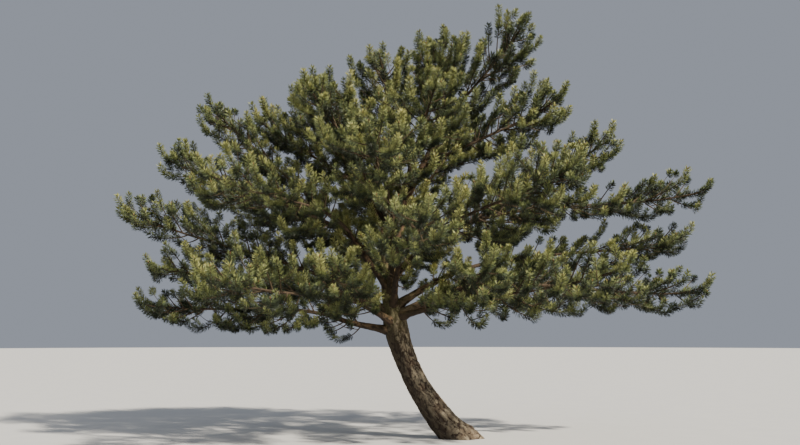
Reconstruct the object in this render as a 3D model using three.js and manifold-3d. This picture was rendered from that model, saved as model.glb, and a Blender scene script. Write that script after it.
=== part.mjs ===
// A Scots pine grown as a low, wide specimen: a leaning trunk that straightens at its fork, boughs that
// spread all round it, and a cloud of needle sprays at the end of each bough.
// Millimetres, +Z up. The origin is in the flat cut under the trunk at ground level. +X is to the right of
// the tree's front, which faces -Y.
import * as THREE from "three";
import { mergeVertices } from "three/addons/utils/BufferGeometryUtils.js";
import Module from "manifold-3d";

const wasm = await Module();
wasm.setup();

const vec = (x, y, z) => new THREE.Vector3(x, y, z);
const UP = vec(0, 0, 1);
const GOLDEN_TURN = Math.PI * (3 - Math.sqrt(5));
const degrees = (angle) => (angle * Math.PI) / 180;
const mix = (a, b, t) => a + (b - a) * t;

// Clearances
const GAP = 0.3; // between two pieces that meet
const SPACE_GAP = 16; // between the spaces of two masses
const LIMB_GAP = 9; // between a spray and a limb or a stem that isn't its own
const STEM_APART = 5; // between two stems on one bough
const BEAD_STEP = 16; // between the points along a limb that sprays are kept from
const MIDDLE_STEP = 13; // between the points along a twig's middle that are tested

const TIER_SEED = 71;
const MASS_SEED = 101;

// Trunk: a lower part that leans to the fork, and a leader above it, each a cubic curve
const LOWER_TRUNK = [vec(0, 0, 0), vec(-340, 0, 340), vec(-530, 0, 695), vec(-610, 0, 1120)];
const LEADER = [vec(-610, 0, 1120), vec(-665, 0, 1350), vec(-705, 10, 1610), vec(-690, 20, 1850)];
const FORK_PLACE = 0.6; // from 0 at the trunk's foot to 1 at its top
const TRUNK_RADII = [
  // place along the trunk, radius there
  [0, 122], [0.12, 122], [0.2, 115], [0.29, 107], [0.36, 102], [0.42, 101], [0.48, 105], [0.55, 116],
  [0.6, 112], [0.66, 84], [0.8, 65], [1, 48],
];
const TRUNK_SIDES = 16;
const TRUNK_STEPS = 15;
const UNDERGROUND = 245; // how far the trunk's line runs on below the ground, where it is cut off flat
const UNDERGROUND_SHARE = 0.14; // of the steps
const FLARE = 0.42; // how much wider the roots' swelling makes the foot
const FLARE_HEIGHT = 85;
const FLARE_LOBES = 5;
const LOBE_DEPTH = 0.28; // as a share of the flare
const LOBE_TURN = 0.6;

// Boughs
const BOUGH_SIDES = 6;
const BOUGH_STEP = 360; // the length of one straight piece of a bough
const BOUGH_BENDS = [0.33, 0.67]; // places of its curve's two handles along its chord
const BOUGH_RISE = 0.03; // how much higher the first handle is, as a share of its length
const BOUGH_CROOK = 0.16; // the most that a bough bends aside, as a share of its length
const BOUGH_TAPER = 0.8; // below 1, a bough thins fastest near its root

// The space of a mass
const SPACE_BACK = 0.14; // how far it runs back past its start, as a share of its length
const TIP_ROOM = 90;
const BULGE = 1.12; // the most that a space, blunter at its ends than an ellipsoid, stands out of one
const BLUNTNESS = [4, 2, 2]; // powers along its length, across and over
const LEAST_BESIDE = 0.5; // below this share of the way between them, one space lies ahead of the other
const ROOM_STEP = 10;

// Stem of a mass
const STEM_INTO = 8; // how far into the bough's tip its first mass's stem begins
const SECOND_STEM = 0.14; // how far back from the tip its second mass's stem begins, as a share of the bough
const STEM_LEAVE = [0.25, 0.8]; // how much the first and the second stem head straight for their tips
const STEM_THICK = [0.92, 0.8]; // their radii at the root, as shares of the bough's at its tip
const STEM_END = 8;
const STEM_HANDLES = [0.3, 0.35]; // lengths of its curve's handles, as shares of its reach
const STEM_SAG = 0.05;
const STEM_TAPER = 1.25; // above 1, a stem is at its thinnest before its end
const STEM_RINGS = [0, 0.26, 0.52]; // places of its rings before its last spray
const STEM_SPRAY = 0.76; // where its last spray begins
const BARE_END = 0.9; // where it ends when no spray fits there

// Twigs on a stem
const TWIG_PLACES = [0.08, 0.86]; // where the first and the last twig leave the stem
const TWIG_OPENS = [degrees(72), degrees(42)]; // their angles to it
const TWIG_KNEE = 0.42; // where a twig bends, as a share of the room it has
const TWIG_ROOT = 9;
const TWIG_END = 6;
const TWIG_SHORT = 30; // how far short of its space's edge a twig ends
const LEAST_ROOM = 60;
const MOST_ROOM = 900;
const UPTURN = 0.4; // how much a twig past its knee, or a side spray, turns up
const FORWARD_TURN = 0.35; // how much it turns along what it grows from
const SIDE_SPRAYS = 3; // the most on one twig
const SIDE_SPRAY_STEP = 680; // of a twig's length for each
const SIDE_OPENS = [degrees(60), degrees(100)];

// Sprays of needles, larger than life: each stands for a shoot with its side shoots
const SPRAY_LENGTH = 400;
const LEAST_SPRAY = 100;
const SPRAY_CORE = 16;
const SPRAY_WAIST = 0.45; // where along it the core is widest
const SPRAY_TRIES = [[1, 1], [0.84, 0.94], [0.7, 0.86], [0.56, 0.76]]; // size and reach, until one fits
const SPRAY_APART = 130; // between the middles of two sprays
const NEEDLE = 148;
const NEEDLE_OPEN = degrees(52);
const LEAST_NEEDLE = 0.5; // as a share of a needle's full length
const NEEDLE_EXTRA = 0.2; // how much longer a short spray's needles are than its length would make them
const RING_TURN = degrees(18); // each ring's turn from the last, so that needles don't stand in rows
const SPIKED = 2; // a spray's pieces that needles stand out of

// The crown in plan: an oval round the leader that the tiers of boughs reach
const CROWN_X = -600;
const CROWN_HALF_WIDTH = 2750;
const CROWN_HALF_DEPTH = 2250;
const REACH_SPREAD = [0.94, 1.06];
const HEIGHT_SPREAD = [0.97, 1.03];

// Boughs to the sides and the top: name, what it grows from, how far along that, its tip, its radii at root
// and tip, and how far it bows upwards as a share of its length
const SIDE_BOUGHS = [
  ["bough_top", "trunk", 1, [-160, 20, 2980], 45, 22, 0.03],
  ["bough_right_low", "trunk", 0.6, [120, -80, 1440], 50, 24, 0.07],
  ["bough_right_mid", "trunk", 0.66, [60, 160, 1620], 42, 21, 0.04],
  ["bough_right_high", "trunk", 0.93, [100, 20, 2060], 40, 22, -0.03],
  ["bough_left_low", "trunk", 0.55, [-1220, -80, 1160], 42, 20, -0.05],
  ["bough_left_mid", "trunk", 0.62, [-1260, 60, 1520], 44, 22, 0.02],
  ["bough_left_high", "trunk", 0.86, [-1160, 20, 2060], 42, 22, -0.02],
  ["bough_crown_left", "bough_top", 0.1, [-1000, 60, 2500], 32, 20, 0.02],
  ["bough_crown_mid", "bough_top", 0.3, [-620, -40, 2800], 28, 19, 0.03],
  ["bough_plume", "bough_top", 0.62, [40, -20, 2800], 26, 19, 0.02],
];

// Masses of needles on them: name, the bough, the furthest tip, its width, its depth and its number of twigs
const SIDE_MASSES = [
  ["needles_top_plume", "bough_top", [700, 0, 4090], 900, 760, 11],
  ["needles_top", "bough_top", [-120, 20, 3910], 1000, 900, 14],
  ["needles_right_plume", "bough_plume", [1030, -40, 3300], 1000, 720, 11],
  ["needles_crown_mid", "bough_crown_mid", [-740, -60, 3720], 900, 840, 10],
  ["needles_crown_left", "bough_crown_left", [-1420, 40, 3500], 1000, 840, 10],
  ["needles_shoulder", "bough_crown_left", [-2010, 120, 3140], 900, 840, 13],
  ["needles_left_high", "bough_left_high", [-2480, 20, 3290], 1000, 800, 12],
  ["needles_left_spire", "bough_left_high", [-2930, -60, 2740], 900, 600, 12],
  ["needles_left_arm", "bough_left_mid", [-3330, 0, 2230], 1150, 660, 11],
  ["needles_left_knee", "bough_left_mid", [-2980, -160, 1640], 1000, 640, 14],
  ["needles_left_low", "bough_left_low", [-3070, -80, 1290], 1200, 600, 12],
  ["needles_right_low", "bough_right_low", [2450, -80, 1400], 1200, 640, 12],
  ["needles_right_mid", "bough_right_mid", [2360, 160, 1960], 1200, 560, 12],
  ["needles_right_arm", "bough_right_high", [2520, -40, 2400], 1100, 560, 12],
  ["needles_right_high", "bough_right_high", [1570, 40, 2950], 800, 600, 14],
  ["needles_front_left", "bough_low_1", [-1200, -1750, 1500], 1000, 660, 9],
  ["needles_front_right", "bough_low_3", [160, -1800, 1550], 1000, 660, 9],
];

// Tiers of boughs to the front and back, each ending in a mass. Headings are in degrees round the crown, 0 to
// the right and -90 to the front. Shares are of the crown's oval, and heights are those of the tips, to which
// each heading adds its lift.
const TIERS = [
  {
    name: "low",
    headings: [-128, -84, -40, 42, 90, 134],
    places: [0.58, 0.66, 0.61, 0.6, 0.64, 0.57],
    lifts: [-140, 240, -140, 0, 300, 0],
    bough: { share: 0.24, height: 1420, radii: [38, 20], bow: -0.01 },
    mass: { share: 1, height: 1650, width: 1300, depth: 720, twigs: 7 },
  },
  {
    name: "mid",
    headings: [-138, -96, -46, 42, 94, 138],
    places: [0.76, 0.72, 0.8, 0.82, 0.74, 0.78],
    lifts: [0, 200, 0, 0, 200, 0],
    bough: { share: 0.24, height: 1960, radii: [35, 20], bow: -0.02 },
    mass: { share: 0.84, height: 2330, width: 1400, depth: 840, twigs: 7 },
  },
  {
    name: "high",
    headings: [-132, -72, 45, 112],
    places: [0.97, 0.9, 0.94, 0.99],
    lifts: [0, 0, 0, 0],
    bough: { share: 0.17, height: 2460, radii: [30, 19], bow: 0 },
    mass: { share: 0.5, height: 3160, width: 1100, depth: 900, twigs: 7 },
  },
];

const BARK_LOW = { color: 0x6b5a4c, roughness: 0.95, metalness: 0 };
const BARK_HIGH = { color: 0x94603f, roughness: 0.9, metalness: 0 };
const NEEDLES = { color: 0x46583a, roughness: 0.7, metalness: 0 };

// The same seed always gives the same run of numbers from 0 to 1.
function seeded(seed) {
  let state = (seed * 7919 + 104729) % 2147483647;
  return () => {
    state = (state * 48271) % 2147483647;
    return state / 2147483647;
  };
}

// The value at a place between stations, each a place and its value.
function valueAt(stations, place) {
  const next = stations.findIndex(([at]) => at >= place);
  if (next <= 0) return stations.at(next)[1];
  const [place0, value0] = stations[next - 1];
  const [place1, value1] = stations[next];
  return mix(value0, value1, (place - place0) / (place1 - place0));
}

// Limbs. Each has point(t), direction(t) and radius(t), with t from 0 at its root to 1 at its tip.
function limbOn(point, radius) {
  const direction = (t) =>
    point(Math.min(1, t + 0.01)).sub(point(Math.max(0, t - 0.01))).normalize();
  return { point, direction, radius };
}

function trunkLimb() {
  const lower = new THREE.CubicBezierCurve3(...LOWER_TRUNK);
  const leader = new THREE.CubicBezierCurve3(...LEADER);
  const point = (t) =>
    t < FORK_PLACE ? lower.getPoint(t / FORK_PLACE) : leader.getPoint((t - FORK_PLACE) / (1 - FORK_PLACE));
  return limbOn(point, (t) => valueAt(TRUNK_RADII, t));
}

// A bough is one cubic curve, with a seeded crook to either side so that no two bend alike.
function boughLimb(parent, place, tip, [rootRadius, tipRadius], bow, random) {
  const root = parent.point(place);
  const chord = tip.clone().sub(root);
  const length = chord.length();
  const across = chord.clone().cross(UP).normalize();
  const handle = (share, lift) => {
    const crook = (random() - 0.5) * BOUGH_CROOK * length;
    const onChord = root.clone().addScaledVector(chord, share);
    return onChord.addScaledVector(across, crook).addScaledVector(UP, lift * length);
  };
  const near = handle(BOUGH_BENDS[0], bow + BOUGH_RISE);
  const far = handle(BOUGH_BENDS[1], bow);
  const curve = new THREE.CubicBezierCurve3(root, near, far, tip);
  return limbOn((t) => curve.getPoint(t), (t) => mix(rootRadius, tipRadius, t ** BOUGH_TAPER));
}

// Every bough and mass, those of the tiers worked out from the crown's oval
function crownPlan() {
  const boughs = SIDE_BOUGHS.map(([name, parent, place, tip, root, end, bow]) => ({
    name, parent, place, tip: vec(...tip), radii: [root, end], bow,
  }));
  const masses = SIDE_MASSES.map(([name, bough, tip, width, depth, twigs]) => ({
    name, bough, tip: vec(...tip), width, depth, twigs,
  }));
  const random = seeded(TIER_SEED);
  for (const tier of TIERS) {
    tier.headings.forEach((heading, i) => {
      const cos = Math.cos(degrees(heading));
      const sin = Math.sin(degrees(heading));
      const reach = 1 / Math.hypot(cos / CROWN_HALF_WIDTH, sin / CROWN_HALF_DEPTH);
      const at = ({ share, height }) => {
        const out = reach * share * mix(...REACH_SPREAD, random());
        const up = height * mix(...HEIGHT_SPREAD, random()) + tier.lifts[i];
        return vec(CROWN_X + out * cos, out * sin, up);
      };
      const place = tier.places[i];
      const { radii, bow } = tier.bough;
      const { width, depth, twigs } = tier.mass;
      const bough = `bough_${tier.name}_${i + 1}`;
      const mass = `needles_${tier.name}_${i + 1}`;
      boughs.push({ name: bough, parent: "trunk", place, tip: at(tier.bough), radii, bow });
      masses.push({ name: mass, bough, tip: at(tier.mass), width, depth, twigs });
    });
  }
  return { boughs, masses };
}

function solidFrom(geometry) {
  geometry.deleteAttribute("normal");
  geometry.deleteAttribute("uv");
  const merged = mergeVertices(geometry, 1e-3);
  return new wasm.Manifold(
    new wasm.Mesh({
      numProp: 3,
      vertProperties: merged.attributes.position.array,
      triVerts: new Uint32Array(merged.index.array),
    }),
  );
}

// A limb's solid: a cylinder bent and tapered along its line. grow makes it larger all over, to cut clearance
// in what meets it. swell widens it by place and angle.
function limbSolid(limb, sides, steps, grow = 0, swell = () => 1) {
  const cylinder = new THREE.CylinderGeometry(1, 1, 1, sides, steps);
  const corner = cylinder.attributes.position;
  const chord = limb.point(1).sub(limb.point(0)).normalize();
  const reference = Math.abs(chord.y) < 0.6 ? vec(0, 1, 0) : vec(1, 0, 0);
  for (let i = 0; i < corner.count; i++) {
    const t = Math.min(1, Math.max(0, corner.getY(i) + 0.5));
    const along = limb.direction(t);
    const side = reference.clone().cross(along).normalize();
    const over = side.clone().cross(along);
    const out = Math.hypot(corner.getX(i), corner.getZ(i));
    const angle = Math.atan2(corner.getZ(i), corner.getX(i));
    const radius = out * (limb.radius(t) * swell(t, angle) + grow);
    const at = limb.point(t);
    at.addScaledVector(side, radius * Math.cos(angle)).addScaledVector(over, radius * Math.sin(angle));
    if (t === 0) at.addScaledVector(along, -grow);
    if (t === 1) at.addScaledVector(along, grow);
    corner.setXYZ(i, at.x, at.y, at.z);
  }
  return solidFrom(cylinder);
}

function boughSolid(limb, grow = 0) {
  const steps = Math.max(3, Math.round(limb.point(0).distanceTo(limb.point(1)) / BOUGH_STEP));
  return limbSolid(limb, BOUGH_SIDES, steps, grow);
}

function largestBody(solid) {
  return solid.decompose().reduce((a, b) => (b.volume() > a.volume() ? b : a));
}

// The trunk's line runs on a little below the ground, where a block cuts it off flat.
function trunkSolid(trunk, grow = 0) {
  const above = (t) => (t - UNDERGROUND_SHARE) / (1 - UNDERGROUND_SHARE);
  const point = (t) => {
    if (t >= UNDERGROUND_SHARE) return trunk.point(above(t));
    return trunk.point(0).addScaledVector(trunk.direction(0), (t / UNDERGROUND_SHARE - 1) * UNDERGROUND);
  };
  const whole = limbOn(point, (t) => trunk.radius(Math.max(0, above(t))));
  const swell = (t, angle) => {
    const height = Math.max(0, point(t).z);
    const lobe = 1 - LOBE_DEPTH + LOBE_DEPTH * Math.cos(FLARE_LOBES * angle + LOBE_TURN);
    return 1 + FLARE * lobe * Math.exp(-height / FLARE_HEIGHT);
  };
  const ground = new THREE.BoxGeometry(2000, 2000, 1000).translate(0, 0, -500 - grow);
  return limbSolid(whole, TRUNK_SIDES, TRUNK_STEPS, grow, swell).subtract(solidFrom(ground));
}

// A mass's own space: a blunt ellipsoid from behind its bough's tip to its furthest tip, and on its own side
// of a plane between it and each neighbour.
function spaceOf(start, tip, width, depth) {
  const along = tip.clone().sub(start);
  const length = along.length();
  along.normalize();
  const side = UP.clone().cross(along).normalize();
  const over = along.clone().cross(side);
  const back = start.clone().addScaledVector(along, -SPACE_BACK * length);
  const centre = back.clone().lerp(tip, 0.5);
  const axes = [[along, back.distanceTo(tip) / 2 + TIP_ROOM], [side, width / 2], [over, depth / 2]];
  const extent = (direction) => Math.hypot(...axes.map(([axis, half]) => axis.dot(direction) * half));
  return { centre, along, axes, extent, planes: [] };
}

// The plane between two spaces runs along them both, so that it leaves their tips whole, unless one lies ahead
// of the other.
function partSpaces(spaces) {
  for (const a of spaces) {
    for (const b of spaces) {
      if (a === b) continue;
      const apart = b.centre.clone().sub(a.centre);
      const forward = a.along.clone().add(b.along).normalize();
      const beside = apart.clone().addScaledVector(forward, -apart.dot(forward));
      const isAhead = beside.length() < LEAST_BESIDE * apart.length();
      const normal = (isAhead ? apart.clone() : beside).normalize();
      const distance = apart.dot(normal);
      const mine = a.extent(normal);
      const both = mine + b.extent(normal);
      if (both * BULGE < distance) continue;
      a.planes.push([normal, a.centre.dot(normal) + (distance * mine) / both - SPACE_GAP / 2]);
    }
  }
}

function isInside(space, point) {
  const from = point.clone().sub(space.centre);
  const shares = space.axes.map(([axis, half], i) => Math.abs(from.dot(axis) / half) ** BLUNTNESS[i]);
  const total = shares.reduce((a, b) => a + b);
  return total < 1 && space.planes.every(([normal, limit]) => point.dot(normal) < limit);
}

// How far a straight line can run from a point before it leaves the space.
function roomAlong(space, from, direction) {
  let run = 0;
  while (run < MOST_ROOM && isInside(space, from.clone().addScaledVector(direction, run + ROOM_STEP))) {
    run += ROOM_STEP;
  }
  return run;
}

// A mass's stem runs on from its bough through the middle of its space. The order is 0 for the first mass on
// the bough and 1 for the second, which leaves it just short of the tip.
function stemOf(bough, order, tip) {
  const root = bough.point(1 - SECOND_STEM * order);
  if (order === 0) root.addScaledVector(bough.direction(1), -STEM_INTO);
  const reach = root.distanceTo(tip);
  const onward = tip.clone().sub(root).normalize();
  const leave = bough.direction(1).lerp(onward, STEM_LEAVE[order]).normalize();
  const near = root.clone().addScaledVector(leave, reach * STEM_HANDLES[0]);
  const far = tip.clone().addScaledVector(onward, -reach * STEM_HANDLES[1]);
  far.addScaledVector(UP, -reach * STEM_SAG);
  const curve = new THREE.CubicBezierCurve3(root, near, far, tip);
  const thick = bough.radius(1) * STEM_THICK[order];
  return limbOn((t) => curve.getPoint(t), (t) => mix(thick, STEM_END, Math.min(1, t * STEM_TAPER)));
}

// A twig: three-sided, through the given points, and closed at its end in a point. A needle stands out of
// each face of its last pieces, as many pieces as spiked says.
function twigMesh(points, radii, needle, spiked) {
  const last = points.length - 1;
  const positions = [];
  const triangles = [];
  const add = (p) => positions.push(p.x, p.y, p.z) / 3 - 1;
  const first = points[1].clone().sub(points[0]).normalize();
  const reference = Math.abs(first.z) < 0.7 ? UP : vec(1, 0, 0);
  const rings = points.slice(0, last).map((middle, k) => {
    const along = points[k + 1].clone().sub(points[Math.max(0, k - 1)]).normalize();
    const side = reference.clone().cross(along).normalize();
    const over = along.clone().cross(side);
    return [0, 1, 2].map((corner) => {
      const angle = (corner * 2 * Math.PI) / 3 + k * RING_TURN;
      const out = side.clone().multiplyScalar(Math.cos(angle)).addScaledVector(over, Math.sin(angle));
      const place = middle.clone().addScaledVector(out, radii[k]);
      return { place, index: add(place) };
    });
  });
  const end = { place: points[last], index: add(points[last]) };
  const standNeedle = (loop, middle, along) => {
    const tip = loop.reduce((sum, { place }) => sum.add(place), vec(0, 0, 0)).divideScalar(loop.length);
    const out = tip.clone().sub(middle);
    out.addScaledVector(along, -out.dot(along)).normalize();
    tip.addScaledVector(out, needle * Math.sin(NEEDLE_OPEN));
    tip.addScaledVector(along, needle * Math.cos(NEEDLE_OPEN));
    const top = add(tip);
    loop.forEach(({ index }, i) => triangles.push(index, loop[(i + 1) % loop.length].index, top));
  };
  triangles.push(rings[0][2].index, rings[0][1].index, rings[0][0].index);
  for (let k = 0; k < last; k++) {
    const along = points[k + 1].clone().sub(points[k]).normalize();
    for (let c = 0; c < 3; c++) {
      const next = (c + 1) % 3;
      const isEnd = k === last - 1;
      const ahead = isEnd ? [end] : [rings[k + 1][next], rings[k + 1][c]];
      const loop = [rings[k][c], rings[k][next], ...ahead];
      if (k >= last - spiked) standNeedle(loop, points[k], along);
      else loop.slice(2).forEach(({ index }, i) => triangles.push(loop[0].index, loop[i + 1].index, index));
    }
  }
  return { positions, triangles };
}

function twigSolid({ positions, triangles }) {
  const geometry = new THREE.BufferGeometry();
  geometry.setAttribute("position", new THREE.Float32BufferAttribute(positions, 3));
  geometry.setIndex(triangles);
  return solidFrom(geometry);
}

// Points down the middle of a limb or stem, each with the radius there.
function beadsOf(limb) {
  const count = Math.ceil(limb.point(0).distanceTo(limb.point(1)) / BEAD_STEP);
  const places = Array.from({ length: count + 1 }, (_, i) => i / count);
  return places.map((t) => ({ at: limb.point(t), radius: limb.radius(t) }));
}

function isClear(points, beads) {
  return points.every((p) => beads.every(({ at, radius }) => p.distanceTo(at) > radius + LIMB_GAP));
}

// Whether a twig, from one of its rings on, keeps to its mass's space and clear of every limb and stem that
// isn't its own
function fits(space, mesh, line, ring, beads) {
  const corners = [];
  for (let i = 3 * ring; i < mesh.positions.length / 3; i++) {
    corners.push(vec(...mesh.positions.slice(3 * i, 3 * i + 3)));
  }
  if (!corners.every((p) => isInside(space, p))) return false;
  const middle = [];
  for (let k = ring - 1; k < line.length - 1; k++) {
    const count = Math.ceil(line[k].distanceTo(line[k + 1]) / MIDDLE_STEP);
    for (let i = 0; i <= count; i++) middle.push(line[k].clone().lerp(line[k + 1], i / count));
  }
  const inner = corners.map((p) => p.clone().lerp(line.at(-2), 0.4));
  return isClear([...corners, ...inner, ...middle], beads);
}

// A spray that runs in a direction, as large as its space and the limbs near it allow, or null. lead holds
// the points of the twig that carries it, and radii the radii there and at the spray's start. A smaller spray
// keeps most of its reach on a longer twig.
function sprayOn(mass, beads, lead, radii, start, direction, length) {
  for (const [share, reach] of SPRAY_TRIES) {
    const run = length * share;
    const from = start.clone().addScaledVector(direction, lead.length ? length * reach - run : 0);
    const outer = [SPRAY_WAIST, 1].map((part) => from.clone().addScaledVector(direction, run * part));
    const isApart = outer.every((p) => mass.sprays.every((q) => p.distanceTo(q) > SPRAY_APART));
    const needleShare = Math.min(share, run / SPRAY_LENGTH + NEEDLE_EXTRA);
    const line = [...lead, from, ...outer];
    const needle = NEEDLE * Math.max(LEAST_NEEDLE, needleShare);
    const mesh = twigMesh(line, [...radii, SPRAY_CORE * share], needle, SPIKED);
    if (!isApart || !fits(mass.space, mesh, line, Math.max(1, lead.length), beads)) continue;
    mass.sprays.push(...outer, outer[0].clone().lerp(outer[1], 0.5));
    return mesh;
  }
  return null;
}

// The stem itself, ending in a spray where one fits
function stemMesh(mass, beads) {
  const { stem } = mass;
  const lead = STEM_RINGS.map((t) => stem.point(t));
  const radii = [...STEM_RINGS, STEM_SPRAY].map((t) => stem.radius(t));
  const last = stem.point(STEM_SPRAY);
  const ending = stem.point(1).sub(last);
  const spray = sprayOn(mass, beads, lead, radii, last, ending.clone().normalize(), ending.length());
  return spray ?? twigMesh([...lead, last, stem.point(BARE_END)], radii, 0, 0);
}

// The sprays on the sides of a twig, to its left and right in turn. draws holds two numbers for each.
function sideSprays(mass, beads, root, start, draws) {
  const run = start.clone().sub(root);
  const count = Math.min(SIDE_SPRAYS, Math.round(run.length() / SIDE_SPRAY_STEP));
  const forward = run.clone().normalize();
  const meshes = [];
  for (let j = 0; j < count; j++) {
    const [place, swing] = draws.slice(2 * j);
    const from = root.clone().addScaledVector(run, (j + 0.5 + 0.3 * place) / count);
    const aside = forward.clone().applyAxisAngle(UP, (j % 2 ? 1 : -1) * mix(...SIDE_OPENS, swing));
    aside.addScaledVector(UP, UPTURN).addScaledVector(forward, FORWARD_TURN).normalize();
    const spray = sprayOn(mass, beads, [], [TWIG_END], from, aside, SPRAY_LENGTH);
    if (spray) meshes.push(spray);
  }
  return meshes;
}

// Every twig of a mass. A twig leaves the stem at the next golden turn, bends outwards and up at its knee and
// ends in a spray, with more sprays along its sides.
function growMass(mass, beads, random) {
  const { stem, space } = mass;
  const meshes = [stemMesh(mass, beads)];
  const phase = random() * 2 * Math.PI;
  for (let i = 0; i < mass.twigs; i++) {
    const [shift, ...sideDraws] = Array.from({ length: 1 + 2 * SIDE_SPRAYS }, random);
    const t = mix(...TWIG_PLACES, (i + 0.5 * shift) / mass.twigs);
    const root = stem.point(t);
    const along = stem.direction(t);
    const side = UP.clone().cross(along).normalize();
    const over = along.clone().cross(side);
    const turn = phase + i * GOLDEN_TURN;
    const out = side.multiplyScalar(Math.cos(turn)).addScaledVector(over, Math.sin(turn));
    const open = mix(...TWIG_OPENS, t);
    const leave = along.clone().multiplyScalar(Math.cos(open)).addScaledVector(out, Math.sin(open));
    const room = roomAlong(space, root, leave);
    if (room < LEAST_ROOM) continue;
    const knee = root.clone().addScaledVector(leave, room * TWIG_KNEE);
    const onward = leave.clone().addScaledVector(along, FORWARD_TURN).addScaledVector(UP, UPTURN).normalize();
    const rest = Math.max(LEAST_SPRAY, roomAlong(space, knee, onward) - TWIG_SHORT);
    const length = Math.min(SPRAY_LENGTH, rest);
    const start = knee.clone().addScaledVector(onward, rest - length);
    const spray = sprayOn(mass, beads, [root], [TWIG_ROOT, TWIG_END], start, onward, length);
    if (spray) meshes.push(spray, ...sideSprays(mass, beads, root, start, sideDraws));
  }
  return meshes;
}

function shown(name, solid, look) {
  const { vertProperties, triVerts } = solid.getMesh();
  const geometry = new THREE.BufferGeometry();
  geometry.setAttribute("position", new THREE.BufferAttribute(new Float32Array(vertProperties), 3));
  geometry.setIndex(new THREE.BufferAttribute(new Uint32Array(triVerts), 1));
  geometry.computeVertexNormals();
  const mesh = new THREE.Mesh(geometry, new THREE.MeshStandardMaterial(look));
  mesh.name = name;
  return mesh;
}

// The limbs, each cut clear of those before it, and the grown solids that cut what meets them
function addLimbs(tree, boughs) {
  const limbs = { trunk: trunkLimb() };
  const cutters = { trunk: trunkSolid(limbs.trunk, GAP) };
  tree.add(shown("trunk", trunkSolid(limbs.trunk), BARK_LOW));
  boughs.forEach(({ name, parent, place, tip, radii, bow }, i) => {
    const limb = boughLimb(limbs[parent], place, tip, radii, bow, seeded(i + 1));
    const cut = Object.values(cutters).reduce((solid, cutter) => solid.subtract(cutter), boughSolid(limb));
    limbs[name] = limb;
    cutters[name] = boughSolid(limb, GAP);
    tree.add(shown(name, largestBody(cut), BARK_HIGH));
  });
  return { limbs, cutters };
}

// Each mass, cut clear of its bough and of the stem before it on that bough
function addMasses(tree, masses, limbs, cutters) {
  for (const mass of masses) {
    mass.earlier = masses.slice(0, masses.indexOf(mass)).filter(({ bough }) => bough === mass.bough);
    mass.stem = stemOf(limbs[mass.bough], mass.earlier.length, mass.tip);
    mass.space = spaceOf(limbs[mass.bough].point(1), mass.tip, mass.width, mass.depth);
    mass.sprays = [];
  }
  partSpaces(masses.map(({ space }) => space));
  masses.forEach((mass, i) => {
    const others = masses.filter((other) => other !== mass).map(({ stem }) => stem);
    const beads = [...Object.values(limbs), ...others].flatMap(beadsOf);
    const twigs = growMass(mass, beads, seeded(MASS_SEED + i)).map(twigSolid);
    let solid = twigs.reduce((a, b) => a.add(b)).subtract(cutters[mass.bough]);
    for (const { stem } of mass.earlier) solid = solid.subtract(limbSolid(stem, 6, 8, STEM_APART));
    tree.add(shown(mass.name, largestBody(solid), NEEDLES));
  });
}

function buildTree() {
  const tree = new THREE.Group();
  const { boughs, masses } = crownPlan();
  const { limbs, cutters } = addLimbs(tree, boughs);
  addMasses(tree, masses, limbs, cutters);
  return tree;
}

export default buildTree();
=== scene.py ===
"""The looks of a wide, low Scots pine: bark in relief on trunk and boughs, and needled shoots on its twigs.

Metres, in the frame's own axes: +Z up, +X to the right of the tree's front, which faces -Y.
"""
import math
from collections import namedtuple
from itertools import permutations, product

import bmesh
import bpy
import numpy as np
from mathutils.kdtree import KDTree
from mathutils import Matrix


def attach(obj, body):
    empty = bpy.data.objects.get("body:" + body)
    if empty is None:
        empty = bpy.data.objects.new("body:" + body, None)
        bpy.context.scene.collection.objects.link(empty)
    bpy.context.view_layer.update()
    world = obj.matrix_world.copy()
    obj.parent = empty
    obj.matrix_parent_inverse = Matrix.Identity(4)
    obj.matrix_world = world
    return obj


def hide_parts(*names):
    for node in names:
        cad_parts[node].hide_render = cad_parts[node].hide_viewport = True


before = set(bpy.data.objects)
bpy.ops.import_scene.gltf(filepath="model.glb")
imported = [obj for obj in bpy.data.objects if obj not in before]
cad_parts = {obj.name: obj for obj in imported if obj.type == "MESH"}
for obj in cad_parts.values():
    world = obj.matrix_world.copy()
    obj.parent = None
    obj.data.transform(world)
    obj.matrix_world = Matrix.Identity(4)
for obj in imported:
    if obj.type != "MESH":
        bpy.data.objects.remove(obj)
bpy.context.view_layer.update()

UP = np.array([0.0, 0.0, 1.0])
GOLDEN_TURN = math.pi * (3 - math.sqrt(5))

# Trunk: a lower part that leans to the fork, and a leader above it, each a cubic curve
LOWER_TRUNK = [(0, 0, 0), (-0.34, 0, 0.34), (-0.53, 0, 0.695), (-0.61, 0, 1.12)]
LEADER = [(-0.61, 0, 1.12), (-0.665, 0, 1.35), (-0.705, 0.01, 1.61), (-0.69, 0.02, 1.85)]
FORK_PLACE = 0.6  # from 0 at the trunk's foot to 1 at its top
TRUNK_RADII = [  # place along the trunk, radius there
    (0, 0.122), (0.12, 0.122), (0.2, 0.115), (0.29, 0.107), (0.36, 0.102), (0.42, 0.101), (0.48, 0.105),
    (0.55, 0.116), (0.6, 0.112), (0.66, 0.084), (0.8, 0.065), (1, 0.048),
]
UNDERGROUND = 0.245  # how far the trunk's line runs on below the ground, where it is cut off flat
UNDERGROUND_SHARE = 0.14  # of the steps
FLARE = 0.42  # how much wider the roots' swelling makes the foot
FLARE_HEIGHT = 0.085
FLARE_LOBES = 5
LOBE_DEPTH = 0.28  # as a share of the flare
LOBE_TURN = 0.6

# Boughs
BOUGH_BENDS = (0.33, 0.67)  # places of its curve's two handles along its chord
BOUGH_RISE = 0.03  # how much higher the first handle is, as a share of its length
BOUGH_CROOK = 0.16  # the most that a bough bends aside, as a share of its length
BOUGH_TAPER = 0.8  # below 1, a bough thins fastest near its root

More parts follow.
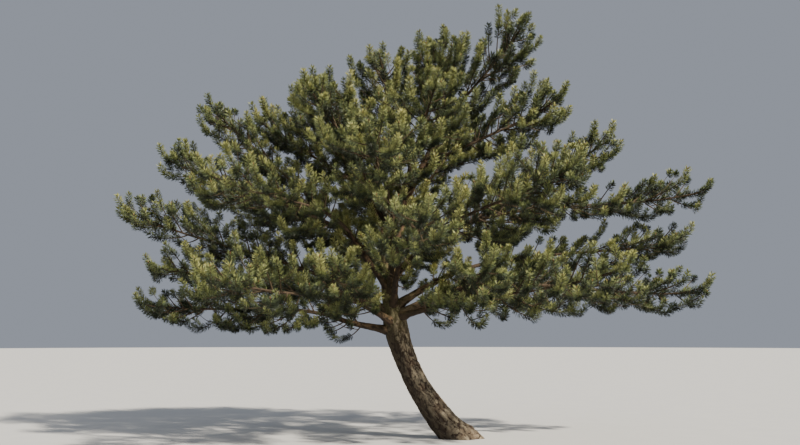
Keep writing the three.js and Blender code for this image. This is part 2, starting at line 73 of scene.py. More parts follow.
# The space of a mass of needles
SPACE_BACK = 0.14  # how far it runs back past its start, as a share of its length
TIP_ROOM = 0.09
BULGE = 1.12  # the most that a space, blunter at its ends than an ellipsoid, stands out of one
BLUNTNESS = np.array([4, 2, 2])  # powers along its length, across and over
LEAST_BESIDE = 0.5  # below this share of the way between them, one space lies ahead of the other
SPACE_GAP = 0.016
ROOM_STEP = 0.01
MOST_ROOM = 0.9
LEAST_ROOM = 0.06

# Stem of a mass
STEM_INTO = 0.008
SECOND_STEM = 0.14  # how far back from the tip the second mass's stem begins, as a share of the bough
STEM_LEAVE = (0.25, 0.8)  # how much the first and the second stem head straight for their tips
STEM_THICK = (0.92, 0.8)  # their radii at the root, as shares of the bough's at its tip
STEM_END = 0.008
STEM_HANDLES = (0.3, 0.35)
STEM_SAG = 0.05
STEM_TAPER = 1.25

# Twigs on a stem
TWIG_PLACES = (0.08, 0.86)
TWIG_OPENS = (math.radians(72), math.radians(42))
TWIG_KNEE = 0.42
TWIG_POINTS = 9
UPTURN = 0.4
FORWARD_TURN = 0.35
SIDE_SPRAYS = 3
TWIG_WHORL = 3  # twigs at each place where the solid has one
TWIG_REACHES = (0.45, 0.95)  # of those that the solid doesn't have, as shares of their room
LEAST_TWIG = 0.1

# Side twigs, which the solids don't have
SIDE_TWIG_STEP = 0.085  # along a twig, for each of them
SIDE_TWIG_PLACES = (0.2, 0.94)  # of its first and last
SIDE_TWIG_JITTER = 0.6
SIDE_TWIG_OPEN = math.radians(58)
SIDE_TWIG_SWING = 0.5  # radians
SIDE_TWIG_LENGTHS = (0.36, 0.14)  # of its first and last
SIDE_TWIG_SPREAD = (0.75, 1.2)
SIDE_TWIG_SHORT = 0.03  # of the end of its room
SIDE_TWIG_KNEE = 0.55
SIDE_TWIG_RISE = 0.3
SIDE_TWIG_POINTS = 5
LEAST_SIDE_TWIG = 0.06

# The crown in plan: an oval round the leader that the tiers of boughs reach
CROWN_X = -0.6
CROWN_HALF_WIDTH = 2.75
CROWN_HALF_DEPTH = 2.25
REACH_SPREAD = (0.94, 1.06)
HEIGHT_SPREAD = (0.97, 1.03)
TIER_SEED = 71
MASS_SEED = 101

# Boughs to the sides and the top: name, what it grows from, how far along that, its tip, its radii at root
# and tip, and how far it bows upwards as a share of its length
SIDE_BOUGHS = [
    ("bough_top", "trunk", 1, (-0.16, 0.02, 2.98), 0.045, 0.022, 0.03),
    ("bough_right_low", "trunk", 0.6, (0.12, -0.08, 1.44), 0.05, 0.024, 0.07),
    ("bough_right_mid", "trunk", 0.66, (0.06, 0.16, 1.62), 0.042, 0.021, 0.04),
    ("bough_right_high", "trunk", 0.93, (0.1, 0.02, 2.06), 0.04, 0.022, -0.03),
    ("bough_left_low", "trunk", 0.55, (-1.22, -0.08, 1.16), 0.042, 0.02, -0.05),
    ("bough_left_mid", "trunk", 0.62, (-1.26, 0.06, 1.52), 0.044, 0.022, 0.02),
    ("bough_left_high", "trunk", 0.86, (-1.16, 0.02, 2.06), 0.042, 0.022, -0.02),
    ("bough_crown_left", "bough_top", 0.1, (-1.0, 0.06, 2.5), 0.032, 0.02, 0.02),
    ("bough_crown_mid", "bough_top", 0.3, (-0.62, -0.04, 2.8), 0.028, 0.019, 0.03),
    ("bough_plume", "bough_top", 0.62, (0.04, -0.02, 2.8), 0.026, 0.019, 0.02),
]

# Masses of needles on them: name, bough, furthest tip, width, depth and number of whorls of twigs
SIDE_MASSES = [
    ("needles_top_plume", "bough_top", (0.7, 0, 4.09), 0.9, 0.76, 11),
    ("needles_top", "bough_top", (-0.12, 0.02, 3.91), 1.0, 0.9, 14),
    ("needles_right_plume", "bough_plume", (1.03, -0.04, 3.3), 1.0, 0.72, 11),
    ("needles_crown_mid", "bough_crown_mid", (-0.74, -0.06, 3.72), 0.9, 0.84, 10),
    ("needles_crown_left", "bough_crown_left", (-1.42, 0.04, 3.5), 1.0, 0.84, 10),
    ("needles_shoulder", "bough_crown_left", (-2.01, 0.12, 3.14), 0.9, 0.84, 13),
    ("needles_left_high", "bough_left_high", (-2.48, 0.02, 3.29), 1.0, 0.8, 12),
    ("needles_left_spire", "bough_left_high", (-2.93, -0.06, 2.74), 0.9, 0.6, 12),
    ("needles_left_arm", "bough_left_mid", (-3.33, 0, 2.23), 1.15, 0.66, 11),
    ("needles_left_knee", "bough_left_mid", (-2.98, -0.16, 1.64), 1.0, 0.64, 14),
    ("needles_left_low", "bough_left_low", (-3.07, -0.08, 1.29), 1.2, 0.6, 12),
    ("needles_right_low", "bough_right_low", (2.45, -0.08, 1.4), 1.2, 0.64, 12),
    ("needles_right_mid", "bough_right_mid", (2.36, 0.16, 1.96), 1.2, 0.56, 12),
    ("needles_right_arm", "bough_right_high", (2.52, -0.04, 2.4), 1.1, 0.56, 12),
    ("needles_right_high", "bough_right_high", (1.57, 0.04, 2.95), 0.8, 0.6, 14),
    ("needles_front_left", "bough_low_1", (-1.2, -1.75, 1.5), 1.0, 0.66, 9),
    ("needles_front_right", "bough_low_3", (0.16, -1.8, 1.55), 1.0, 0.66, 9),
]

# Tiers of boughs to the front and back, each ending in a mass: name, headings in degrees round the crown,
# places along the trunk, what is added to heights, the boughs' share of the oval, height, radii and bow, and
# the masses' share, height, width, depth and whorls
TIERS = [
    ("low", (-128, -84, -40, 42, 90, 134), (0.58, 0.66, 0.61, 0.6, 0.64, 0.57),
     (-0.14, 0.24, -0.14, 0, 0.3, 0), (0.24, 1.42, 0.038, 0.02, -0.01), (1, 1.65, 1.3, 0.72, 7)),
    ("mid", (-138, -96, -46, 42, 94, 138), (0.76, 0.72, 0.8, 0.82, 0.74, 0.78),
     (0, 0.2, 0, 0, 0.2, 0), (0.24, 1.96, 0.035, 0.02, -0.02), (0.84, 2.33, 1.4, 0.84, 7)),
    ("high", (-132, -72, 45, 112), (0.97, 0.9, 0.94, 0.99),
     (0, 0, 0, 0), (0.17, 2.46, 0.03, 0.019, 0), (0.5, 3.16, 1.1, 0.9, 7)),
]

# Sprays on the boughs themselves, short of their masses
SPRAYS_FROM = 0.5  # how far along a bough they begin
SPRAYS_WIDTH = 0.52
SPRAYS_WHORLS = 4
SPRAYS_SEED = 301

# Shoots
STEM_SHOWN = 0.93  # how far along a stem its wood shows
STEM_BEARS = 0.6  # how far along it shoots begin
LEADING_SHOOTS = (0.18, 0.26)  # lengths of the shoots that lead on from twigs
LEADING_OPENS = (0, 14)  # degrees between them and the twig
SHOOT_LENGTHS = (0.08, 0.15)
SHOOT_OPENS = (38, 60)
TWIG_LATERALS = 4  # shoots round the one that leads on from a twig
SIDE_TWIG_LATERALS = 3
FILLING_LENGTHS = (0.09, 0.14)  # of the shoots along a twig
FILLING_LEANS = (0.1, 0.9)
LONG_SHOOT = 0.155  # a longer one is kept in parts
DENSE_SHOOT = 0.115  # the same for a finger, a shoot that leads on at the crown's edge
SHOOT_SHARES = (1.0, 0.8, 0.62, 0.45)  # of its length that a shoot tries to keep
SHOOT_TURN = (0.5, 0.8)  # shares of its first heading and of straight up that it turns to
SHOOT_STRAIGHT = 0.35  # how much of it keeps the first heading
FINGER_OUT = 0.05  # how much further out a finger may end
SIDE_SHOOTS_RIM = 0.14  # how much further inside other shoots may have to end
SHOOT_APART = 0.103  # between the middles of two shoots
BARE_APART = 0.92  # as a share of that, how far from other shoots a bare part of a twig gets needles
SHOOT_CLEAR = 0.028  # between a shoot's axis and a limb
BEAD_STEP = 0.02
SHOOT_EDGE = 0.02  # how far inside its space a shoot ends
SHOOT_SEED = 5000

# Wood of stems, twigs and shoots: radii at root and tip
STEM_RINGS, STEM_SIDES = 26, 8
TWIG_RADII = (0.0085, 0.0035)
SIDE_TWIG_RADII = (0.0045, 0.0028)
SHOOT_RADII = (0.0028, 0.0016)
THIN_SIDES = 3
BUD_STEPS = np.array([-0.002, 0.006, 0.017])  # along a bud from its shoot's end, with its radius there
BUD_RADII = np.array([0.0025, 0.0042, 0.0003])
BUD_OUTWARD = 0.45  # how far out in its mass a shoot has to be to show a bud

# Needles
NEEDLE_LENGTH = 0.059
NEEDLE_SPREAD = (0.78, 1.0)
NEEDLE_WIDTH = 0.009
NEEDLE_PAIRS = 41
NEEDLE_PLACES = (np.arange(NEEDLE_PAIRS) + 0.5) / NEEDLE_PAIRS  # along a shoot
NEEDLE_OPENS = (math.radians(68), math.radians(58))  # angles of a shoot's first and last needles to it
NEEDLE_BELLY = 0.58  # where along a needle it is widest
NEEDLE_FOLD = 0.9  # how deep it is folded along its middle, as a share of half its width
CROWNING_NEEDLES = 0.84  # past here on a shoot, needles stand at any angle, which rounds its end off
CROWNING_OPENS = (0.3, 1)  # shares of their angle
CROWNING_LENGTH = 0.88
PAIR_SPLAY = math.radians(11)
SPLAY_FORWARD = 0.4
OLDER_NEEDLES = 0.7  # how light needles on twigs are, as a share of those on shoots
# Painted light on needles: lighter towards the crown's middle, with painted shade towards its rim
CROWN_MIDDLE = np.array([-0.6, 0, 2.2])
CROWN_HALVES = np.array([2.8, 3.6, 1.9])  # from there to where the painted shade on needles is deepest

# Bark
TRUNK_PLATES = (0.029, 0.095, 0.009)  # width, length and depth
TRUNK_SIDES, TRUNK_RINGS = 96, 280
TRUNK_SEED = 3
OLD_BARK = (0.66, 1.0)  # places along the trunk where its thick bark ends and its thin bark begins
BOUGH_PLATES = (0.03, 0.06, 0.004)
BOUGH_SIDES = 16
BOUGH_RING_STEP = 0.015
BOUGH_SEED = 41
BOUGH_OLD = (0.03, 0.055)  # radii where a bough's bark begins to thicken and is thickest
BOUGH_OLDEST = 0.6
COLLAR = 0.42  # how much a bough swells where it leaves its parent
COLLAR_REACH = 0.05
FURROW = (0.02, 0.2)  # how near the middle between two plates a furrow's floor and its edge are, in plates
FLAKES_ALONG, FLAKES_AROUND = 2.6, 2  # flakes to a plate
LIT_SIDE = np.array([0.75, 0, 0.66])  # bark that faces away from here, on its shaded side and underneath, gets painted shade
FORK = np.array([-0.67, 0.0, 1.42])  # where most moss grows
MOSS_REACH = 0.32
BOUGH_MOSS = 0.35  # how much of it grows on boughs, as a share of the trunk's

# The camera stands where the photograph was taken from
CAMERA_PLACE = (-0.56, -10.0, 1.01)
CAMERA_TILT = math.radians(6.06)
CAMERA_LENS = 46.4


def mix(a, b, t):
    return a + (b - a) * t


def unit(vectors):
    return vectors / np.maximum(np.linalg.norm(vectors, axis=-1, keepdims=True), 1e-12)


def smoothstep(low, high, values):
    t = np.clip((values - low) / (high - low), 0, 1)
    return t * t * (3 - 2 * t)


class Draws:
    """The same seed always gives the same run of numbers from 0 to 1, as in the part's own source."""

    def __init__(self, seed):
        self.state = (seed * 7919 + 104729) % 2147483647

    def __call__(self):
        self.state = self.state * 48271 % 2147483647
        return self.state / 2147483647


class Limb:
    """A tapering line. Places along it run from 0 at its root to 1 at its tip."""

    def __init__(self, curves, radius):
        self.curves = [(np.array(handles, float), low, high) for handles, low, high in curves]
        self.radius = radius

    def point(self, place):
        place = np.asarray(place, float)[..., None]
        total = np.zeros(place.shape[:-1] + (3,))
        for handles, low, high in self.curves:
            t = np.clip((place - low) / (high - low), 0, 1)
            a, b, c, d = handles
            curve = (1 - t) ** 3 * a + 3 * (1 - t) ** 2 * t * b + 3 * (1 - t) * t**2 * c + t**3 * d
            total = np.where((place >= low) & ((place < high) | (high == 1)), curve, total)
        return total

    def direction(self, place):
        place = np.asarray(place, float)
        return unit(self.point(np.minimum(1, place + 0.01)) - self.point(np.maximum(0, place - 0.01)))

    def length(self):
        points = self.point(np.linspace(0, 1, 60))
        return float(np.linalg.norm(np.diff(points, axis=0), axis=1).sum())


class TracedLimb(Limb):
    """A limb whose points come from a function of the place"""

    def __init__(self, point):
        self.point = point


def trunk_limb():
    places, radii = zip(*TRUNK_RADII)
    curves = [(LOWER_TRUNK, 0, FORK_PLACE), (LEADER, FORK_PLACE, 1)]
    return Limb(curves, lambda place: np.interp(place, places, radii))


def bough_limb(parent, place, tip, root_radius, tip_radius, bow, draw):
    """A bough is one cubic curve, with a seeded crook to either side."""
    root = parent.point(place)
    chord = np.array(tip) - root
    length = np.linalg.norm(chord)
    across = unit(np.cross(chord, UP))

    def handle(share, lift):
        crook = (draw() - 0.5) * BOUGH_CROOK * length
        return root + chord * share + across * crook + UP * lift * length

    near = handle(BOUGH_BENDS[0], bow + BOUGH_RISE)
    far = handle(BOUGH_BENDS[1], bow)
    return Limb([((root, near, far, tip), 0, 1)], lambda t: mix(root_radius, tip_radius, t**BOUGH_TAPER))


def stem_limb(bough, order, tip):
    """A mass's stem runs on from its bough through the middle of its space."""
    root = bough.point(1 - SECOND_STEM * order)
    if order == 0:
        root = root - bough.direction(1) * STEM_INTO
    reach = np.linalg.norm(tip - root)
    onward = unit(tip - root)
    leave = unit(mix(bough.direction(1), onward, STEM_LEAVE[order]))
    near = root + leave * reach * STEM_HANDLES[0]
    far = tip - onward * reach * STEM_HANDLES[1] - UP * reach * STEM_SAG
    thick = bough.radius(1) * STEM_THICK[order]
    curve = ((root, near, far, tip), 0, 1)
    return Limb([curve], lambda place: mix(thick, STEM_END, np.minimum(1, place * STEM_TAPER)))


class Space:
    """A mass's own space: a blunt ellipsoid, on its own side of a plane between it and each neighbour."""

    def __init__(self, start, tip, width, depth):
        along = unit(tip - start)
        side = unit(np.cross(UP, along))
        over = np.cross(along, side)
        back = start - along * SPACE_BACK * np.linalg.norm(tip - start)
        self.centre = (back + tip) / 2
        self.along = along
        self.axes = np.array([along, side, over])
        self.halves = np.array([np.linalg.norm(tip - back) / 2 + TIP_ROOM, width / 2, depth / 2])
        self.normals = np.zeros((0, 3))
        self.limits = np.zeros(0)

    def extent(self, direction):
        return np.linalg.norm(self.axes @ direction * self.halves)

    def part_from(self, other):
        """The plane between two spaces runs along them both, so that it leaves their tips whole, unless one
        lies ahead of the other."""
        apart = other.centre - self.centre
        forward = unit(self.along + other.along)
        beside = apart - forward * (apart @ forward)
        if np.linalg.norm(beside) < LEAST_BESIDE * np.linalg.norm(apart):
            beside = apart
        normal = unit(beside)
        distance = apart @ normal
        mine = self.extent(normal)
        both = mine + other.extent(normal)
        if both * BULGE >= distance:
            limit = self.centre @ normal + distance * mine / both - SPACE_GAP / 2
            self.normals = np.vstack([self.normals, normal])
            self.limits = np.append(self.limits, limit)

    def outwardness(self, points, inset=0.0):
        """0 in the middle of the space, 1 at its edge or as far inside of it as the inset"""
        places = (points - self.centre) @ self.axes.T / (self.halves - inset)
        return (np.abs(places) ** BLUNTNESS).sum(-1)

    def holds(self, points, margin=0.0, rim=0.0):
        """Whether points lie inside by the margin, and by as much as the rim more where no neighbour is"""
        is_own_side = (points @ self.normals.T < self.limits - margin).all(-1)
        return (self.outwardness(points, margin + rim) < 1) & is_own_side

    def room_along(self, start, direction):
        steps = np.arange(1, round(MOST_ROOM / ROOM_STEP) + 1) * ROOM_STEP
        inside = self.holds(start + steps[:, None] * direction)
        return MOST_ROOM if inside.all() else ROOM_STEP * int(np.argmin(inside))


def crown_plan():
    """Every limb and mass, those of the tiers worked out from the crown's oval"""
    boughs = list(SIDE_BOUGHS)
    masses = list(SIDE_MASSES)
    draw = Draws(TIER_SEED)
    for tier, headings, places, lifts, bough_sizes, mass_sizes in TIERS:
        for i, heading in enumerate(headings):
            cos, sin = math.cos(math.radians(heading)), math.sin(math.radians(heading))
            reach = 1 / math.hypot(cos / CROWN_HALF_WIDTH, sin / CROWN_HALF_DEPTH)

            def tip(share, height):
                out = reach * share * mix(*REACH_SPREAD, draw())
                return (CROWN_X + out * cos, out * sin, height * mix(*HEIGHT_SPREAD, draw()) + lifts[i])

            name = f"{tier}_{i + 1}"
            boughs.append((f"bough_{name}", "trunk", places[i], tip(*bough_sizes[:2]), *bough_sizes[2:]))
            masses.append((f"needles_{name}", f"bough_{name}", tip(*mass_sizes[:2]), *mass_sizes[2:]))
    limbs = {"trunk": trunk_limb()}
    for i, (name, parent, place, *shape) in enumerate(boughs):
        limbs[name] = bough_limb(limbs[parent], place, *shape, Draws(i + 1))
        limbs[name].parent_radius = limbs[parent].radius(place)
    return limbs, masses


# A shoot bends from its start past its middle handle to its end. outward is 0 deep in its mass and 1 at its
# edge, and shade is its own draw from 0 to 1.
Shoot = namedtuple("Shoot", "start middle end outward shade has_bud")


class Mass:
    """One mass of needles: its space, its stem, and the twigs and shoots that grow in it"""

    def __init__(self, name, stem, space, whorls):
        self.name = name
        self.stem = stem
        self.space = space
        self.whorls = whorls
        self.main_twigs = []
        self.more_twigs = []
        self.side_twigs = []
        self.shoots = []

    def twigs(self):
        return self.main_twigs + self.more_twigs


def make_masses(limbs, rows):
    masses = []
    on_bough = {}
    for name, bough, tip, width, depth, whorls in rows:
        order = on_bough.get(bough, 0)
        on_bough[bough] = order + 1
        tip = np.array(tip, float)
        space = Space(limbs[bough].point(1), tip, width, depth)
        masses.append(Mass(name, stem_limb(limbs[bough], order, tip), space, whorls))
    for mass, other in permutations(masses, 2):
        mass.space.part_from(other.space)
    return masses


def bough_sprays(name, bough):
    """What grows on a bough's outer part, on short twigs, before it enters its masses"""
    outer = TracedLimb(lambda place: bough.point(mix(SPRAYS_FROM, 1, place)))
    space = Space(outer.point(0), outer.point(1), SPRAYS_WIDTH, SPRAYS_WIDTH)
    return Mass(name, outer, space, SPRAYS_WHORLS)


def bent(start, knee, end, count):
    """Points of a smooth curve from start to end that heads for the knee first"""
    t = np.linspace(0, 1, count)[:, None]
    return (1 - t) ** 2 * start + 2 * (1 - t) * t * knee + t**2 * end


class Crowd:
    """What twigs and shoots are kept from: beads down the middles of limbs, and the middles of shoots"""

    def __init__(self, limbs):
        points, self.radii = [], []
        for limb in limbs:
            places = np.linspace(0, 1, max(2, round(limb.length() / BEAD_STEP)))
            points.extend(limb.point(places))
            self.radii.extend(limb.radius(places) + SHOOT_CLEAR)
        self.reach = max(self.radii)
        self.beads = KDTree(len(points))
        for i, point in enumerate(points):
            self.beads.insert(point, i)
        self.beads.balance()
        self.cells = {}

    def is_clear(self, points):
        for point in points:
            for _, i, distance in self.beads.find_range(point, self.reach):
                if distance < self.radii[i]:
                    return False
        return True

    def take(self, point, share=1.0):
        """True, and the place is taken, unless another shoot is nearer than that share of SHOOT_APART."""
        cell = tuple(int(c) for c in np.floor(point / SHOOT_APART))
        for i, j, k in product((-1, 0, 1), repeat=3):
            for other in self.cells.get((cell[0] + i, cell[1] + j, cell[2] + k), ()):
                if np.sum((other - point) ** 2) < (share * SHOOT_APART) ** 2:
                    return False
        self.cells.setdefault(cell, []).append(point)
        return True


def aside(along, turn):
    """The direction across a line, at a turn round it"""
    side = unit(np.cross(UP, along))
    return side * math.cos(turn) + np.cross(along, side) * math.sin(turn)


def leaving(along, turn, opening):
    """The direction that leaves a line at an opening angle, at a turn round it"""
    return along * math.cos(opening) + aside(along, turn) * math.sin(opening)


def grow_twigs(mass, seed, crowd):
    """The mass's twigs by the source's rule, a whorl of them where the solid has one, and their side twigs"""
    draw = Draws(seed)
    fine = np.random.default_rng(seed)
    stem, space = mass.stem, mass.space
    phase = draw() * 2 * math.pi
    for i in range(mass.whorls):
        draws = [draw() for _ in range(1 + 2 * SIDE_SPRAYS)]
        for arm in range(TWIG_WHORL):
            place = mix(*TWIG_PLACES, (i + arm / TWIG_WHORL + 0.5 * draws[0]) / mass.whorls)
            root = stem.point(place)
            along = stem.direction(place)
            turn = phase + i * GOLDEN_TURN + arm * 2 * math.pi / TWIG_WHORL
            leave = leaving(along, turn, mix(*TWIG_OPENS, place))
            room = space.room_along(root, leave)
            if room < LEAST_ROOM:
                continue
            knee = root + leave * room * TWIG_KNEE
            onward = unit(leave + along * FORWARD_TURN + UP * UPTURN)
            reach = fine.uniform(*TWIG_REACHES) if arm else 1.0
            rest = max(LEAST_TWIG, (space.room_along(knee, onward) - LEADING_SHOOTS[0]) * reach)
            twig = bent(root, knee, knee + onward * rest, TWIG_POINTS)
            if crowd.is_clear(twig[3:]):
                twigs = mass.more_twigs if arm else mass.main_twigs
                twigs.append(twig)
                add_side_twigs(mass, twig, fine, crowd)


def add_side_twigs(mass, twig, fine, crowd):
    steps = np.linalg.norm(np.diff(twig, axis=0), axis=1)
    reach = np.concatenate([[0], np.cumsum(steps)]) / steps.sum()
    count = int(steps.sum() * (1 - SIDE_TWIG_PLACES[0]) / SIDE_TWIG_STEP)
    for j in range(count):
        place = mix(*SIDE_TWIG_PLACES, (j + SIDE_TWIG_JITTER * fine.random()) / count)
        root = np.array([np.interp(place, reach, twig[:, axis]) for axis in range(3)])
        turn = j * math.pi + fine.normal(0, SIDE_TWIG_SWING)
        leave = leaving(unit(twig[-1] - twig[3]), turn, SIDE_TWIG_OPEN)
        length = mix(*SIDE_TWIG_LENGTHS, place) * fine.uniform(*SIDE_TWIG_SPREAD)
        length = min(length, mass.space.room_along(root, leave) - SIDE_TWIG_SHORT)
        if length < LEAST_SIDE_TWIG:
            continue
        knee = root + leave * SIDE_TWIG_KNEE * length
        end = root + leave * length + UP * SIDE_TWIG_RISE * length
        side_twig = bent(root, knee, end, SIDE_TWIG_POINTS)
        if mass.space.holds(side_twig, SHOOT_EDGE).all() and crowd.is_clear(side_twig[2:]):
            mass.side_twigs.append(side_twig)


def add_whorl(mass, twig, laterals, leading, fine, crowd, is_finger=False):
    """The shoots at a twig's end: one that leads on and some round it. Returns how many grew."""
    along = unit(twig[-1] - twig[-2])
    turn = fine.uniform(0, 2 * math.pi)
    grown = 0
    for j in range(laterals + 1):
        opening = math.radians(fine.uniform(*(SHOOT_OPENS if j else LEADING_OPENS)))
        leave = leaving(along, turn + j * 2 * math.pi / laterals, opening)
        length = fine.uniform(*(SHOOT_LENGTHS if j else leading))
        grown += add_shoot(mass, twig[-1], leave, length, fine, crowd, is_finger and j == 0)
    return grown


def add_shoot(mass, start, leave, length, fine, crowd, is_finger=False):
    """A shoot that curves up, as long as its space allows. A finger stands out of the crown, and others may
    stand near it. Returns whether it grew."""
    turned = unit(leave * SHOOT_TURN[0] + UP * SHOOT_TURN[1])
    heading = leave * SHOOT_STRAIGHT + turned * (1 - SHOOT_STRAIGHT)
    rim = -FINGER_OUT if is_finger else fine.uniform(0, SIDE_SHOOTS_RIM)
    for share in SHOOT_SHARES:
        end = start + heading * length * share
        if mass.space.holds(end, SHOOT_EDGE, rim):
            break
    else:
        return False
    middle = start + leave * length * share / 2
    shade = fine.random()
    grows = crowd.is_clear([middle, end]) and (crowd.take((middle + end) / 2) or is_finger)
    if grows:
        shoot = Shoot(start, middle, end, float(mass.space.outwardness(end)), shade, True)
        keep_shoot(mass, shoot, DENSE_SHOOT if is_finger else LONG_SHOOT)
    return grows


def keep_shoot(mass, shoot, longest):
    """A shoot over the longest length is kept as several, end to end, so that its needles are dense."""
    start, middle, end = shoot[:3]
    count = math.ceil(np.linalg.norm(end - start) / longest)

    def point(a, b):
        return (1 - a) * (1 - b) * start + (a + b - 2 * a * b) * middle + a * b * end

    for j in range(count):
        low, high = j / count, (j + 1) / count
        part = shoot._replace(start=point(low, low), middle=point(low, high), end=point(high, high))
        mass.shoots.append(part._replace(has_bud=shoot.has_bud and j == count - 1))


def clothe(mass, line, fine, crowd, only_bare=False):
    """Last year's needles, on the outer part of a twig or stem itself. With only_bare, there are none where
    another shoot is near."""
    start, middle, end = line[-4], line[-2], line[-1]
    if mass.space.holds(end, SHOOT_EDGE, -FINGER_OUT) and crowd.is_clear([middle, end]):
        if crowd.take((start + end) / 2, BARE_APART) or not only_bare:
            outward = OLDER_NEEDLES * float(mass.space.outwardness(end))
            keep_shoot(mass, Shoot(start, middle, end, outward, fine.random(), False), LONG_SHOOT)


def grow_shoots(mass, seed, crowd):
    """The needled shoots of a mass. A side twig with no shoot at its end is dropped."""
    fine = np.random.default_rng(seed + SHOOT_SEED)
    stem_end = mass.stem.point(np.linspace(STEM_BEARS, STEM_SHOWN, 6))
    for line in [stem_end, *mass.twigs()]:
        clothe(mass, line, fine, crowd)
    for twig in [stem_end, *mass.main_twigs]:
        add_whorl(mass, twig, TWIG_LATERALS, LEADING_SHOOTS, fine, crowd, is_finger=True)
    for twig in mass.more_twigs:
        add_whorl(mass, twig, TWIG_LATERALS, LEADING_SHOOTS, fine, crowd)
    mass.side_twigs = [
        twig for twig in mass.side_twigs
        if add_whorl(mass, twig, SIDE_TWIG_LATERALS, SHOOT_LENGTHS, fine, crowd)]
    for twig in [stem_end, *mass.twigs(), *mass.side_twigs]:
        for k in range(len(twig) // 3, len(twig) - 1):
            along = unit(twig[k + 1] - twig[k])
            out = aside(along, fine.uniform(0, 2 * math.pi))
            leave = unit(along + out * fine.uniform(*FILLING_LEANS))
            add_shoot(mass, twig[k], leave, fine.uniform(*FILLING_LENGTHS), fine, crowd)
    for twig in mass.twigs():
        clothe(mass, twig[:-3], fine, crowd, only_bare=True)


def add_mesh(name, vertices, faces, materials, material_index=None, smooth=True, marks=None):
    """A mesh object that rides on the tree. faces is a list of arrays, each of faces with as many corners."""
    mesh = bpy.data.meshes.new(name)
    mesh.vertices.add(len(vertices))
    mesh.vertices.foreach_set("co", np.asarray(vertices, np.float32).ravel())
    sizes = np.concatenate([np.full(len(rows), rows.shape[1]) for rows in faces])
    mesh.loops.add(int(sizes.sum()))
    mesh.loops.foreach_set("vertex_index", np.concatenate([rows.ravel() for rows in faces]).astype(np.int32))
    mesh.polygons.add(len(sizes))
    starts = np.concatenate([[0], np.cumsum(sizes)[:-1]]).astype(np.int32)
    mesh.polygons.foreach_set("loop_start", starts)
    mesh.polygons.foreach_set("use_smooth", np.full(len(sizes), smooth))
    if material_index is not None:
        mesh.polygons.foreach_set("material_index", np.asarray(material_index, np.int32))
    for material in materials:
        mesh.materials.append(material)
    for mark, values in (marks or {}).items():
        attribute = mesh.attributes.new(mark, "FLOAT", "POINT")
        attribute.data.foreach_set("value", np.asarray(values, np.float32))
    mesh.update(calc_edges=True)
    piece = bpy.data.objects.new(name, mesh)
    bpy.context.scene.collection.objects.link(piece)
    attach(piece, "root")
    return piece


def tube_faces(rings, sides):
    ring, j = np.meshgrid(np.arange(rings - 1) * sides, np.arange(sides), indexing="ij")
    after = (j + 1) % sides
    corners = [ring + j, ring + after, ring + sides + after, ring + sides + j]
    return np.stack(corners, -1).reshape(-1, 4)


def tubes(lines, radii, sides):
    """Vertices and faces of many tubes: lines is (tubes, rings, 3) and radii (tubes, rings)."""
    count, rings = lines.shape[:2]
    along = unit(np.gradient(lines, axis=1))
    reference = np.where(np.abs(along[:, :1, 2:]) < 0.8, UP, (1, 0, 0))
    side = unit(np.cross(np.broadcast_to(reference, along.shape), along))
    over = np.cross(along, side)
    angles = np.arange(sides) * 2 * math.pi / sides
    out = side[:, :, None] * np.cos(angles)[:, None] + over[:, :, None] * np.sin(angles)[:, None]
    vertices = (lines[:, :, None] + out * radii[:, :, None, None]).reshape(-1, 3)
    faces = tube_faces(rings, sides)[None] + (np.arange(count) * rings * sides)[:, None, None]
    return vertices, faces.reshape(-1, 4)


def bark_plates(along, around, cells, seed):
    """Plates of bark at places in cell units: 0 in a furrow to 1 on a plate, and the plate's own tone"""
    draws = np.random.default_rng(seed)
    rows = int(along.max()) + 4
    jitter = draws.random((rows, cells, 2))
    tones = draws.random((rows, cells))
    row, column = np.floor(along).astype(int), np.floor(around).astype(int)
    first = np.full(along.shape, 9.0)
    second = first.copy()
    tone = np.zeros(along.shape)
    for i in (-1, 0, 1):
        for j in (-1, 0, 1):
            at = (row + i + 1, (column + j) % cells)
            shift = jitter[at]
            distance = np.hypot(row + i + shift[..., 0] - along, column + j + shift[..., 1] - around)
            tone = np.where(distance < first, tones[at], tone)
            second = np.minimum(second, np.maximum(distance, first))
            first = np.minimum(first, distance)
    return smoothstep(*FURROW, second - first), tone


def mottle(along, around, cells, seed):
    """Soft noise from 0 to 1 at places in cell units, which joins up round the limb"""
    values = np.random.default_rng(seed).random((int(along.max()) + 3, cells))
    row, column = np.floor(along).astype(int), np.floor(around).astype(int)
    after = (column + 1) % cells
    up, across = smoothstep(0, 1, along - row), smoothstep(0, 1, around - column)
    near = mix(values[row, column % cells], values[row, after], across)
    far = mix(values[row + 1, column % cells], values[row + 1, after], across)
    return mix(near, far, up)


def waves(along, angle, seed, turns=(1, 2, 3), rate=1.0):
    """Seeded waves over a limb, from -1 to 1: each runs round it a whole number of turns"""
    draws = np.random.default_rng(seed)
    total = 0
    for count in turns:
        total = total + np.sin(along * rate * draws.uniform(9, 26) + count * angle + draws.uniform(0, 6.3))
    return total / len(turns)


